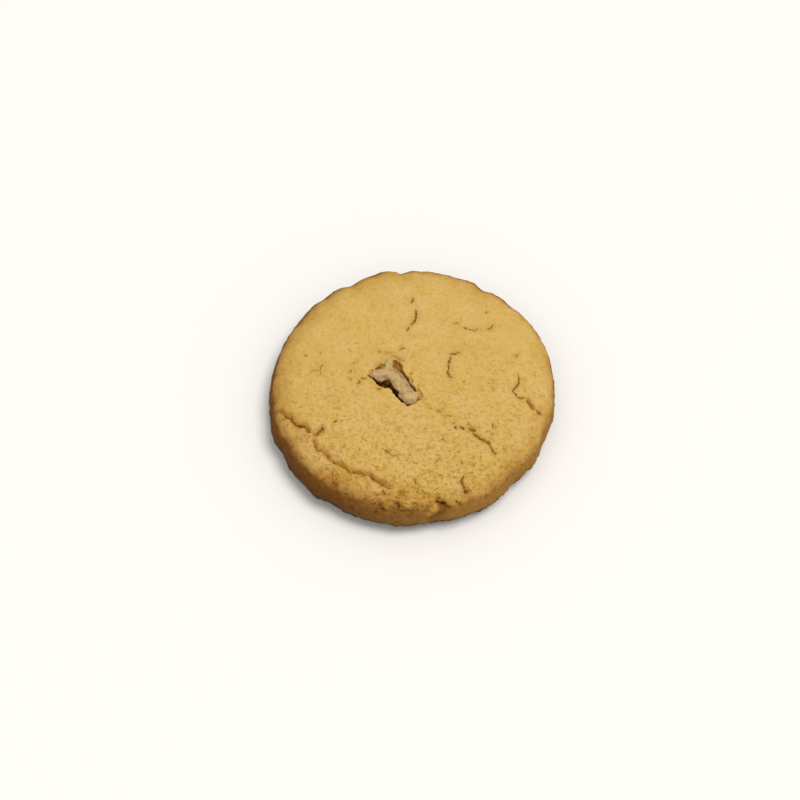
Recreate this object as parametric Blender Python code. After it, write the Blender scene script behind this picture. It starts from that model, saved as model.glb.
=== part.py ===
"""Walnut cookie: a thick round biscuit with a cracked top and one walnut piece pressed into it.

The cookie is one solid that rests on its flat underside, and the walnut is another that sits in
a bed cut in the top. Lengths are in millimetres while a shape is made, and each finished mesh is
turned to metres. +Z is up, +Y points away from the front, and the origin is the middle of the
underside.
"""

import math

import bmesh
import bpy
import numpy as np
from mathutils import Vector, noise
from mathutils.kdtree import KDTree

MM = 0.001

# The biscuit's half-section: a low dome, a wide rounded shoulder, and a tucked-in heel.
RADIUS = 33.0
RIM_CENTRE = Vector((-0.1, 0.1))
SHOULDER_RADIUS = 25.0
WIDEST_Z = 4.2
SHOULDER_Z = 10.3
DOME_RISE = 0.7
HEEL_IN = 6.5
HEEL_DROP = 4.8
SECTION_STEPS = 60

# The rim is slightly oval and dented: (angle, half-width in degrees, height in mm).
OVAL_HEIGHT = 0.77
OVAL_ANGLE = 50.0
RIM_FEATURES = [
    (27, 12, 0.30), (38, 4, 0.20), (51, 4, -0.45), (64, 3.5, -0.90), (77, 5, -0.40), (97, 3, 0.20),
    (100, 3.5, -0.75), (107, 6, 0.70), (123, 3.5, -0.60), (130, 5, 0.45), (143, 6, 0.40),
    (172, 14, -0.40), (206, 7, 0.50), (213, 3, -0.40), (222, 5, 0.25), (237, 7, 0.45),
    (242, 3, -0.45), (253, 5, 0.20), (268, 4, 0.20), (277, 3, -0.25), (284, 4.5, -0.55),
    (292, 4, 0.25), (304, 6, 0.35), (313, 4, 0.20), (321, 4, -0.35), (332, 4, 0.25), (345, 5, -0.40),
]

# Slow swells of the whole surface, and the finer lumps of the dough.
SWELL_SIZE, SWELL_HEIGHT = 11.0, 0.30
LUMP_SIZE, LUMP_HEIGHT = 3.0, 0.12
LUMP_SHIFT = Vector((5.0, 9.0, 2.0))
HEEL_FADE = 2.5

# Cracks: half-width, depth and route. A route's points are (x, y) on the top, or (x, y, z) on
# the side wall. The last quarter at each end narrows and gets shallower, down to CRACK_TIP.
CRACKS = [
    (0.50, 0.8, [(-2.3, 22.6), (-2.7, 20.5)]),
    (0.55, 1.0, [(-1.5, 19.9), (-1.2, 16.6), (-2.5, 14.3), (-3.1, 12.9)]),
    (0.50, 0.8, [(9.8, 15.7), (12.8, 15.0), (13.5, 16.0)]),
    (0.50, 0.8, [(15.3, 15.9), (16.2, 16.3), (17.0, 17.5)]),
    (0.55, 1.0, [(9.9, 8.8), (7.7, 8.1), (7.4, 5.5), (7.6, 4.1), (7.3, 2.9), (8.4, 2.3)]),
    (0.55, 0.9, [(23.4, 4.7), (23.8, 2.5), (22.6, 0.1), (23.9, -1.3), (26.1, -1.3), (28.6, -3.6)]),
    (0.50, 0.8, [(4.5, -6.7), (6.2, -7.3), (9.0, -7.9)]),
    (0.65, 1.2, [(9.5, -9.6), (10.1, -10.5), (13.2, -10.2), (15.3, -12.3), (18.1, -13.3),
                 (18.5, -15.2), (19.6, -16.2)]),
    (0.50, 0.8, [(18.5, -8.2), (18.4, -11.3)]),
    (0.60, 1.0, [(13.1, -22.5), (12.9, -23.7), (13.9, -26.1)]),
    (0.65, 1.3, [(-30.6, -10.0), (-27.8, -11.5), (-25.3, -13.9), (-22.6, -15.3), (-21.6, -16.2)]),
    (0.55, 1.1, [(-21.8, -16.0), (-19.3, -14.3), (-16.7, -12.3)]),
    (0.60, 1.1, [(-21.8, -16.0), (-20.9, -18.2), (-17.8, -21.3), (-14.7, -23.3), (-10.3, -24.7),
                 (-6.3, -25.8), (-2.8, -27.6)]),
    (0.50, 0.9, [(-15.9, -24.7), (-15.9, -26.9)]),
    (1.10, 1.3, [(7.2, -28.3), (8.9, -29.1), (9.9, -30.3), (9.6, -31.3, 6.5), (8.2, -31.7, 3.6)]),
    (0.70, 1.2, [(-4.0, -29.9), (-5.4, -31.0, 7.0), (-7.6, -31.3, 5.2)]),
]
CRACK_STEP = 0.3
CRACK_TIP = 0.35
CRACK_TAPER = 4.0
CRACK_WANDER = 0.35
WANDER_SIZE = 1.6
WANDER_APART = 7.3

# The walnut piece lies in the top as a nub, a left lobe and a long body: (x, y, radius, height
# of its top over the crust). A lobe is WALNUT_DEPTH deep, or less where it is small.
WALNUT_LOBES = [
    (-6.3, 4.5, 0.95, 0.2), (-6.1, 3.3, 1.00, 0.3), (-6.0, 1.9, 1.55, 0.5), (-7.6, 1.0, 1.35, 0.2),
    (-9.0, 0.8, 0.95, 0.0), (-4.8, 0.5, 1.75, 0.6), (-3.5, -1.0, 1.85, 0.6), (-2.3, -2.5, 1.95, 0.6),
    (-1.3, -3.8, 1.90, 0.4), (-0.7, -4.7, 1.50, 0.2),
]
WALNUT_DEPTH = 3.4
WALNUT_DEPTH_IN_RADII = 2.2
WALNUT_VOXEL = 0.55
WALNUT_ROUGH = 0.12
WALNUT_ROUGH_SIZE = 0.9

# The walnut's bed in the dough leaves room all round it, and hollows open beside it where the
# dough has drawn back: (x, y, radius, depth).
BED_ROOM = 0.5
BED_OPEN = 2.5
BED_VOXEL = 0.5
HOLLOWS = [
    (-6.7, -1.4, 1.25, 3.6), (-5.5, -1.2, 0.95, 3.6), (-4.4, -3.1, 0.75, 3.2), (-3.5, -4.4, 0.70, 3.0),
    (-4.4, 4.9, 0.80, 2.4), (-3.8, 3.8, 1.00, 3.0), (-3.4, 2.7, 0.95, 3.0), (-1.7, 0.5, 0.75, 2.4),
    (-8.5, 2.8, 0.70, 2.2), (-7.7, 3.5, 0.75, 2.2), (1.7, -3.3, 0.85, 1.2),
]

# Mesh fineness: the even mesh of the whole, and the reach of each halving beside the cracks.
WHOLE_LEVEL = 5
FINE_STEPS = [1.7, 0.9, 0.33]
MERGE = 0.02
UNDERSIDE_SNAP = 0.15


def rim_scale(angle):
    """How far the rim stands out at an angle in radians, against a true circle."""
    turn = math.degrees(angle) % 360.0
    out = OVAL_HEIGHT * math.cos(2 * math.radians(turn - OVAL_ANGLE))
    for middle, half_width, height in RIM_FEATURES:
        apart = (turn - middle + 180.0) % 360.0 - 180.0
        out += height * math.exp(-((apart / half_width) ** 2))
    return (RADIUS + out) / RADIUS


def half_section():
    """Radius and height along the half-section, from the top's middle to below the underside."""
    quarter = np.linspace(0.0, math.pi / 2, SECTION_STEPS)
    flat = np.linspace(0.0, SHOULDER_RADIUS, SECTION_STEPS, endpoint=False)
    shoulder_in = RADIUS - SHOULDER_RADIUS
    shoulder_rise = SHOULDER_Z - WIDEST_Z
    radius = np.concatenate([
        flat,
        SHOULDER_RADIUS + shoulder_in * np.sin(quarter),
        RADIUS - HEEL_IN * (1 - np.cos(quarter[1:])),
        [0.0],
    ])
    height = np.concatenate([
        SHOULDER_Z + DOME_RISE * (1 - (flat / SHOULDER_RADIUS) ** 2),
        WIDEST_Z + shoulder_rise * np.cos(quarter),
        WIDEST_Z - HEEL_DROP * np.sin(quarter[1:]),
        [WIDEST_Z - HEEL_DROP],
    ])
    return radius, height


SECTION_RADIUS, SECTION_HEIGHT = half_section()
RING_AREAS = np.hypot(np.diff(SECTION_RADIUS), np.diff(SECTION_HEIGHT)) * (
    SECTION_RADIUS[1:] + SECTION_RADIUS[:-1])
AREA_SHARE = np.concatenate([[0.0], np.cumsum(RING_AREAS)]) / RING_AREAS.sum()
WIDEST_INDEX = int(np.argmax(SECTION_RADIUS))


def around(radius, height, angle):
    """The point of the smooth biscuit at a section radius and height, turned to an angle."""
    reach = radius * rim_scale(angle)
    x = RIM_CENTRE.x + reach * math.cos(angle)
    y = RIM_CENTRE.y + reach * math.sin(angle)
    return Vector((x, y, height))


def on_biscuit(direction):
    """Carries a point of the unit ball to the smooth biscuit, so that areas stay in proportion."""
    share = (1.0 - direction.z) / 2.0
    radius = float(np.interp(share, AREA_SHARE, SECTION_RADIUS))
    height = float(np.interp(share, AREA_SHARE, SECTION_HEIGHT))
    return around(radius, height, math.atan2(direction.y, direction.x))


def on_crust(point):
    """Lifts a route's point to the smooth top, or puts it on the side wall at its own height."""
    flat = Vector(point[:2]) - RIM_CENTRE
    angle = math.atan2(flat.y, flat.x)
    if len(point) == 3:
        radius = np.interp(-point[2], -SECTION_HEIGHT, SECTION_RADIUS)
        return around(float(radius), point[2], angle)
    radius = min(flat.length / rim_scale(angle), RADIUS)
    height = np.interp(radius, SECTION_RADIUS[:WIDEST_INDEX + 1], SECTION_HEIGHT[:WIDEST_INDEX + 1])
    return around(radius, float(height), angle)


def crack_beads():
    """Beads set closely along every crack: a tree of their places, and each one's width and depth."""
    beads = []
    for number, (half_width, depth, route) in enumerate(CRACKS):
        corners = [on_crust(point) for point in route]
        length = sum((b - a).length for a, b in zip(corners, corners[1:]))
        gone = 0.0
        for a, b in zip(corners, corners[1:]):
            run = (b - a).length
            steps = max(1, round(run / CRACK_STEP))
            sideways = Vector((a.y - b.y, b.x - a.x, 0.0)).normalized()
            for step in range(steps):
                along = gone + run * step / steps
                taper = min(1.0, CRACK_TIP + CRACK_TAPER * min(along, length - along) / length)
                jog = noise.noise(Vector((along / WANDER_SIZE, WANDER_APART * number, 0.0)))
                place = a.lerp(b, step / steps) + sideways * (CRACK_WANDER * jog)
                beads.append((place, half_width * taper, depth * taper))
            gone += run
    tree = KDTree(len(beads))
    for index, bead in enumerate(beads):
        tree.insert(bead[0], index)
    tree.balance()
    return tree, beads


CRACK_TREE, BEADS = crack_beads()
WIDEST_CRACK = max(bead[1] for bead in BEADS)


def crack_depth(place):
    """How deep the cracks cut in at a place on the surface: a V along the line of the beads."""
    deepest = 0.0
    for _, index, distance in CRACK_TREE.find_range(place, WIDEST_CRACK):
        _, half_width, depth = BEADS[index]
        deepest = max(deepest, depth * (1.0 - distance / half_width))
    return deepest


def crack_distance(place):
    """Distance from a place to the nearest crack's line."""
    return CRACK_TREE.find(place)[2]


def unevenness(place):
    """Slow swells and small lumps of the baked dough."""
    swell = noise.noise(place / SWELL_SIZE) * SWELL_HEIGHT
    lump = noise.noise(place / LUMP_SIZE + LUMP_SHIFT) * LUMP_HEIGHT
    return swell + lump


def biscuit_surface(bm):
    """An even ball mesh, halved beside the cracks, carried to the smooth biscuit."""
    bmesh.ops.create_icosphere(bm, subdivisions=WHOLE_LEVEL, radius=1.0)
    for reach in FINE_STEPS:
        middles = {e: (e.verts[0].co + e.verts[1].co).normalized() for e in bm.edges}
        edges = [e for e, middle in middles.items() if crack_distance(on_biscuit(middle)) < reach]
        bmesh.ops.subdivide_edges(bm, edges=edges, cuts=1, use_grid_fill=True)
        bmesh.ops.triangulate(bm, faces=[f for f in bm.faces if len(f.verts) > 3])
        for vert in bm.verts:
            vert.co.normalize()
    for vert in bm.verts:
        vert.co = on_biscuit(vert.co)


def cut_underside(bm):
    """Cuts the biscuit flat at the level that it rests on, and closes it with one face."""
    geometry = bm.verts[:] + bm.edges[:] + bm.faces[:]
    bmesh.ops.bisect_plane(bm, geom=geometry, dist=UNDERSIDE_SNAP, plane_co=(0, 0, 0),
                           plane_no=(0, 0, -1), use_snap_center=True, clear_outer=True)
    bmesh.ops.remove_doubles(bm, verts=bm.verts, dist=MERGE)
    rim = [e for e in bm.edges if e.is_boundary]
    bmesh.ops.contextual_create(bm, geom=rim)


def carve_relief(bm):
    """Presses swells, lumps and cracks into the smooth surface, along its own normals."""
    bm.normal_update()
    moves = []
    for vert in bm.verts:
        place = vert.co.copy()
        fade = min(1.0, max(0.0, place.z / HEEL_FADE))
        inward = crack_depth(place) - unevenness(place)
        moves.append(place - vert.normal * (inward * fade))
    for vert, place in zip(bm.verts, moves):
        vert.co = place


def make_biscuit():
    """The biscuit as one closed mesh object."""
    bm = bmesh.new()
    biscuit_surface(bm)
    cut_underside(bm)
    carve_relief(bm)
    bmesh.ops.triangulate(bm, faces=[f for f in bm.faces if len(f.verts) > 3])
    return finished("cookie", bm, crust_material())


def add_ellipsoid(bm, middle, radius, half_depth):
    """Adds one round lump, as wide as its radius and as deep as twice its half depth."""
    ball = bmesh.ops.create_icosphere(bm, subdivisions=3, radius=1.0)["verts"]
    bmesh.ops.scale(bm, verts=ball, vec=(radius, radius, half_depth))
    bmesh.ops.translate(bm, verts=ball, vec=middle)


def add_walnut_lobes(bm, room=0.0, lift=0.0):
    """Adds the walnut's lobes, grown by some room and lifted."""
    for x, y, radius, rise in WALNUT_LOBES:
        half_depth = min(WALNUT_DEPTH, WALNUT_DEPTH_IN_RADII * radius) / 2
        middle = (x, y, crust_height(x, y) + rise - half_depth + lift)
        add_ellipsoid(bm, middle, radius + room, half_depth + room)


def grown_together(bm, voxel):
    """One closed skin round all the lumps of a bmesh."""
    lumps = finished("lumps", bm, None, scale=1.0)
    skin = lumps.modifiers.new("skin", "REMESH")
    skin.mode = "VOXEL"
    skin.voxel_size = voxel
    graph = bpy.context.evaluated_depsgraph_get()
    grown = bmesh.new()
    grown.from_object(lumps, graph)
    bpy.data.objects.remove(lumps, do_unlink=True)
    return grown


def make_walnut():
    """The walnut piece: rounded lobes grown together into one body, with a broken surface."""
    bm = bmesh.new()
    add_walnut_lobes(bm)
    bm = grown_together(bm, WALNUT_VOXEL)
    bm.normal_update()
    for vert in bm.verts:
        vert.co += vert.normal * (WALNUT_ROUGH * noise.noise(vert.co / WALNUT_ROUGH_SIZE))
    bmesh.ops.triangulate(bm, faces=bm.faces)
    return finished("walnut", bm, kernel_material())


def cut_bed(biscuit):
    """Cuts the walnut's bed and the hollows beside it out of the biscuit."""
    bm = bmesh.new()
    add_walnut_lobes(bm, room=BED_ROOM)
    add_walnut_lobes(bm, room=BED_ROOM, lift=BED_OPEN)
    for x, y, radius, depth in HOLLOWS:
        add_ellipsoid(bm, (x, y, crust_height(x, y)), radius, depth)
    bed = finished("walnut bed", grown_together(bm, BED_VOXEL), crust_material())
    bed.hide_render = True
    bed.display_type = "WIRE"
    cut = biscuit.modifiers.new("walnut bed", "BOOLEAN")
    cut.operation = "DIFFERENCE"
    cut.solver = "EXACT"
    cut.object = bed


def crust_height(x, y):
    """Height of the uneven crust over a place in the top, without the walnut's bed."""
    smooth = on_crust((x, y))
    return smooth.z + unevenness(smooth)


def finished(name, bm, material, scale=MM):
    """Turns a bmesh into a named object in metres, with its material."""
    bmesh.ops.scale(bm, verts=bm.verts, vec=(scale, scale, scale))
    mesh = bpy.data.meshes.new(name)
    bm.to_mesh(mesh)
    bm.free()
    mesh.shade_smooth()
    if material:
        mesh.materials.append(material)
    obj = bpy.data.objects.new(name, mesh)
    bpy.context.collection.objects.link(obj)
    return obj


def plain_material(name, colour, roughness):
    """A Principled material with one colour (linear RGB) and roughness."""
    material = bpy.data.materials.new(name)
    material.use_nodes = True
    shader = material.node_tree.nodes["Principled BSDF"]
    shader.inputs["Base Color"].default_value = (*colour, 1.0)
    shader.inputs["Roughness"].default_value = roughness
    shader.inputs["Metallic"].default_value = 0.0
    return material


def crust_material():
    return plain_material("baked crust", (0.62, 0.42, 0.12), 0.75)


def kernel_material():
    return plain_material("walnut kernel", (0.56, 0.42, 0.21), 0.6)


def main():
    for obj in list(bpy.data.objects):
        bpy.data.objects.remove(obj, do_unlink=True)
    biscuit = make_biscuit()
    cut_bed(biscuit)
    make_walnut()


main()
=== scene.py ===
import math

import bmesh
import bpy
import numpy as np
from mathutils import Matrix, Vector, noise
from mathutils.bvhtree import BVHTree
from mathutils.kdtree import KDTree


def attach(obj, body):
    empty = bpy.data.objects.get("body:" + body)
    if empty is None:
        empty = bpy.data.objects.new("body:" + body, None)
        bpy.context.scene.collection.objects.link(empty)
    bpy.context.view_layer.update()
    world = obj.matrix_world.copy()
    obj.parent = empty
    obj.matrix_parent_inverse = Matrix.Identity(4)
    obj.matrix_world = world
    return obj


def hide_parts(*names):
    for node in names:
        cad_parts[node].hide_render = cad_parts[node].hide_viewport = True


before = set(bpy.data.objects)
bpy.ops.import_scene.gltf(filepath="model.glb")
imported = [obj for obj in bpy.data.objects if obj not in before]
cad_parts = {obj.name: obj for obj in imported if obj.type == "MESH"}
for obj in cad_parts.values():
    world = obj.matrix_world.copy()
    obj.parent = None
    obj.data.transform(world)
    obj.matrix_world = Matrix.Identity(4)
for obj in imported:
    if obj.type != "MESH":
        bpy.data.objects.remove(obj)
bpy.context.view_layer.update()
mm = 0.001  # shapes are made in millimetres and turned to metres once


# camera and light

cameraSet = {
    "elevation": 60.0,  # degrees above the table
    "roll": 6.0,  # the far side leans to the right in the frame
    "distance": 420.0,
    "aimHeight": 5.5,
    "frameSide": 800.0,  # pixels
    "aimPixel": (412.99, 391.95),  # where the aimed point lands in the frame
    "pixelsPerMm": 4.3465,  # at the aimed point
    "sensor": 36.0,
    "nearest": 10.0,  # what is nearer than this isn't drawn
}


def makeCamera(s):
    tilt = math.radians(s["elevation"])
    turn = math.radians(s["roll"])
    back = Vector((0, -math.cos(tilt), math.sin(tilt)))
    flatUp = Vector((0, math.sin(tilt), math.cos(tilt)))
    right = Vector((1, 0, 0)) * math.cos(turn) + flatUp * math.sin(turn)
    up = flatUp * math.cos(turn) - Vector((1, 0, 0)) * math.sin(turn)
    place = (Vector((0, 0, s["aimHeight"])) + back * s["distance"]) * mm
    data = bpy.data.cameras.new("studioCamera")
    data.sensor_width = s["sensor"]
    data.lens = s["pixelsPerMm"] * s["distance"] / s["frameSide"] * s["sensor"]
    data.shift_x = 0.5 - s["aimPixel"][0] / s["frameSide"]
    data.shift_y = s["aimPixel"][1] / s["frameSide"] - 0.5
    data.clip_start = s["nearest"] * mm
    camera = bpy.data.objects.new("studioCamera", data)
    bpy.context.collection.objects.link(camera)
    axes = Matrix((right, up, back)).transposed()
    camera.matrix_world = Matrix.Translation(place) @ axes.to_4x4()
    bpy.context.scene.camera = camera


lightSet = {
    "key": {"from": (160, 25, 520), "softness": 34.0, "strength": 1.5, "colour": "#FFFAF2"},
    "sky": {"strength": 0.6, "colour": "#FFFDFA"},
}


def makeLights(s):
    lamp = s["key"]
    data = bpy.data.lights.new("key", "SUN")
    data.angle = math.radians(lamp["softness"])
    data.energy = lamp["strength"]
    data.color = hexColour(lamp["colour"])[:3]
    light = bpy.data.objects.new("key", data)
    light.location = Vector(lamp["from"]) * mm
    light.rotation_euler = light.location.to_track_quat("Z", "Y").to_euler()
    bpy.context.collection.objects.link(light)
    world = bpy.data.worlds.new("studio")
    world.use_nodes = True
    sky = world.node_tree.nodes["Background"]
    sky.inputs["Color"].default_value = hexColour(s["sky"]["colour"])
    sky.inputs["Strength"].default_value = s["sky"]["strength"]
    bpy.context.scene.world = world
    bpy.context.scene.view_settings.view_transform = "Standard"


# shared small helpers

def hexColour(text):
    # sRGB hex to the linear colour that shaders want
    parts = [int(text[i:i + 2], 16) / 255 for i in (1, 3, 5)]
    linear = [c / 12.92 if c <= 0.04045 else ((c + 0.055) / 1.055) ** 2.4 for c in parts]
    return (*linear, 1.0)


def addNode(tree, kind, settings=None, links=None):
    node = tree.nodes.new(kind)
    for name, value in (settings or {}).items():
        if isinstance(name, int) or name in node.inputs:
            node.inputs[name].default_value = value
        else:
            setattr(node, name, value)
    for name, source in (links or {}).items():
        tree.links.new(source, node.inputs[name])
    return node


def newMaterial(name):
    material = bpy.data.materials.new(name)
    material.use_nodes = True
    tree = material.node_tree
    tree.nodes.clear()
    return material, tree


def finishPiece(name, bm, material):
    bmesh.ops.scale(bm, verts=bm.verts, vec=(mm, mm, mm))
    mesh = bpy.data.meshes.new(name)
    bm.to_mesh(mesh)
    bm.free()
    mesh.materials.append(material)
    mesh.shade_smooth()
    piece = bpy.data.objects.new(name, mesh)
    bpy.context.collection.objects.link(piece)
    return piece


def smoothStep(low, high, value):
    share = min(1.0, max(0.0, (value - low) / (high - low)))
    return share * share * (3 - 2 * share)


# the biscuit's form, all in mm: a low dome, a wide shoulder and a tucked-in heel

biscuitSet = {
    "radius": 33.0,
    "rimCentre": (-0.1, 0.1),
    "shoulderRadius": 25.0,
    "widestHeight": 4.2,
    "shoulderHeight": 10.3,
    "domeRise": 0.7,
    "heelIn": 6.5,
    "heelDrop": 4.8,
    "ovalHeight": 0.77,
    "ovalAngle": 50.0,
    "sectionSteps": 60,
    # (angle, half-width in degrees, height) of the rim's dents and swells
    "rimFeatures": [
        (27, 12, 0.30), (38, 4, 0.20), (51, 4, -0.45), (64, 3.5, -0.90), (77, 5, -0.40), (97, 3, 0.20),
        (100, 3.5, -0.75), (107, 6, 0.70), (123, 3.5, -0.60), (130, 5, 0.45), (143, 6, 0.40),
        (172, 14, -0.40), (206, 7, 0.50), (213, 3, -0.40), (222, 5, 0.25), (237, 7, 0.45),
        (242, 3, -0.45), (253, 5, 0.20), (268, 4, 0.20), (277, 3, -0.25), (284, 4.5, -0.55),
        (292, 4, 0.25), (304, 6, 0.35), (313, 4, 0.20), (321, 4, -0.35), (332, 4, 0.25), (345, 5, -0.40),
    ],
    "rimReach": 4,  # a dent or swell ends this many half-widths away
    "swell": (11.0, 0.30),  # size and height of slow swells
    "lump": (3.0, 0.12),
    "lumpShift": (5.0, 9.0, 2.0),
    "crumb": (1.3, 0.27),  # fine crumbs, as fine as the mesh holds
    "crumbFractal": (0.8, 2.0, 2),  # roughness, step from octave to octave, octaves
    "crumbLeast": 0.3,  # share of the crumbs' height where the crust is smoothest
    "pore": (0.95, 0.36, 0.8),  # size, the noise level where pores begin, and depth
    "poreShift": (8.0, 0.0, 3.0),
    "roughWay": (0.12, -0.95),  # the crumb opens towards the front
    "roughSpan": (-0.5, 1.0),
    "roughLeast": 0.33,
    "wallRough": 0.4,  # roughness low on the wall, as a share of the top's
    "wallSpan": (5.0, 9.0),
    # the front's loose crumbs; fade in shares of the reach
    "crumbly": {"middle": (0.0, -29.0), "reach": (11.0, 4.5), "fade": (1.0, 0.3), "size": 1.25,
                "height": 1.05, "rough": 0.5},
    # place and radius of crumbs that stand out beside the chipped rim
    "proudCrumbs": [((7.3, -30.1, 7.6), 1.7), ((6.2, -31.2, 6.4), 1.3)],
    "proudRise": 0.3,
    "proudCore": 0.3,  # share of the radius that rises in full
    "heelFade": 2.5,
    "undersideShare": 0.12,  # the flat underside needs few faces
    "level": 7,
    "fineReach": [0.75, 0.4],  # mesh is halved within these distances of a crack
    "undersideSnap": 0.04,
}


def rimScale(angle):
    s = biscuitSet
    turn = math.degrees(angle) % 360.0
    out = s["ovalHeight"] * math.cos(2 * math.radians(turn - s["ovalAngle"]))
    for middle, halfWidth, height in s["rimFeatures"]:
        apart = (turn - middle + 180.0) % 360.0 - 180.0
        if abs(apart) < s["rimReach"] * halfWidth:
            out += height * math.exp(-((apart / halfWidth) ** 2))
    return (s["radius"] + out) / s["radius"]


def makeSection(s):
    # half-section from the middle of the top to the middle of the underside
    quarter = np.linspace(0.0, math.pi / 2, s["sectionSteps"])
    flat = np.linspace(0.0, s["shoulderRadius"], s["sectionSteps"], endpoint=False)
    shoulderIn = s["radius"] - s["shoulderRadius"]
    shoulderRise = s["shoulderHeight"] - s["widestHeight"]
    radius = np.concatenate([
        flat,
        s["shoulderRadius"] + shoulderIn * np.sin(quarter),
        s["radius"] - s["heelIn"] * (1 - np.cos(quarter[1:])),
        [0.0],
    ])
    height = np.concatenate([
        s["shoulderHeight"] + s["domeRise"] * (1 - (flat / s["shoulderRadius"]) ** 2),
        s["widestHeight"] + shoulderRise * np.cos(quarter),
        s["widestHeight"] - s["heelDrop"] * np.sin(quarter[1:]),
        [s["widestHeight"] - s["heelDrop"]],
    ])
    area = np.hypot(np.diff(radius), np.diff(height)) * (radius[1:] + radius[:-1])
    area[-1] *= s["undersideShare"]
    share = np.concatenate([[0.0], np.cumsum(area)]) / area.sum()
    return radius, height, share


sectionRadius, sectionHeight, sectionShare = makeSection(biscuitSet)
widestIndex = int(np.argmax(sectionRadius))


def around(radius, height, angle):
    reach = radius * rimScale(angle)
    x, y = biscuitSet["rimCentre"]
    return Vector((x + reach * math.cos(angle), y + reach * math.sin(angle), height))


def onBiscuit(direction):
    # carries a point of the unit ball to the smooth biscuit
    share = (1.0 - direction.z) / 2.0
    radius = float(np.interp(share, sectionShare, sectionRadius))
    height = float(np.interp(share, sectionShare, sectionHeight))
    return around(radius, height, math.atan2(direction.y, direction.x))


def onCrust(point):
    # (x, y) is lifted to the top, and (x, y, z) is put on the side wall at that height
    flat = Vector(point[:2]) - Vector(biscuitSet["rimCentre"])
    angle = math.atan2(flat.y, flat.x)
    if len(point) == 3:
        radius = np.interp(-point[2], -sectionHeight, sectionRadius)
        return around(float(radius), point[2], angle)
    radius = min(flat.length / rimScale(angle), biscuitSet["radius"])
    height = np.interp(radius, sectionRadius[:widestIndex + 1], sectionHeight[:widestIndex + 1])
    return around(radius, float(height), angle)


def unevenness(place):
    s = biscuitSet
    swell = noise.noise(place / s["swell"][0]) * s["swell"][1]
    lump = noise.noise(place / s["lump"][0] + Vector(s["lumpShift"])) * s["lump"][1]
    return swell + lump


def crustHeight(x, y):
    smooth = onCrust((x, y))
    return smooth.z + unevenness(smooth)


# cracks: half-width, depth and route in mm

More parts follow.
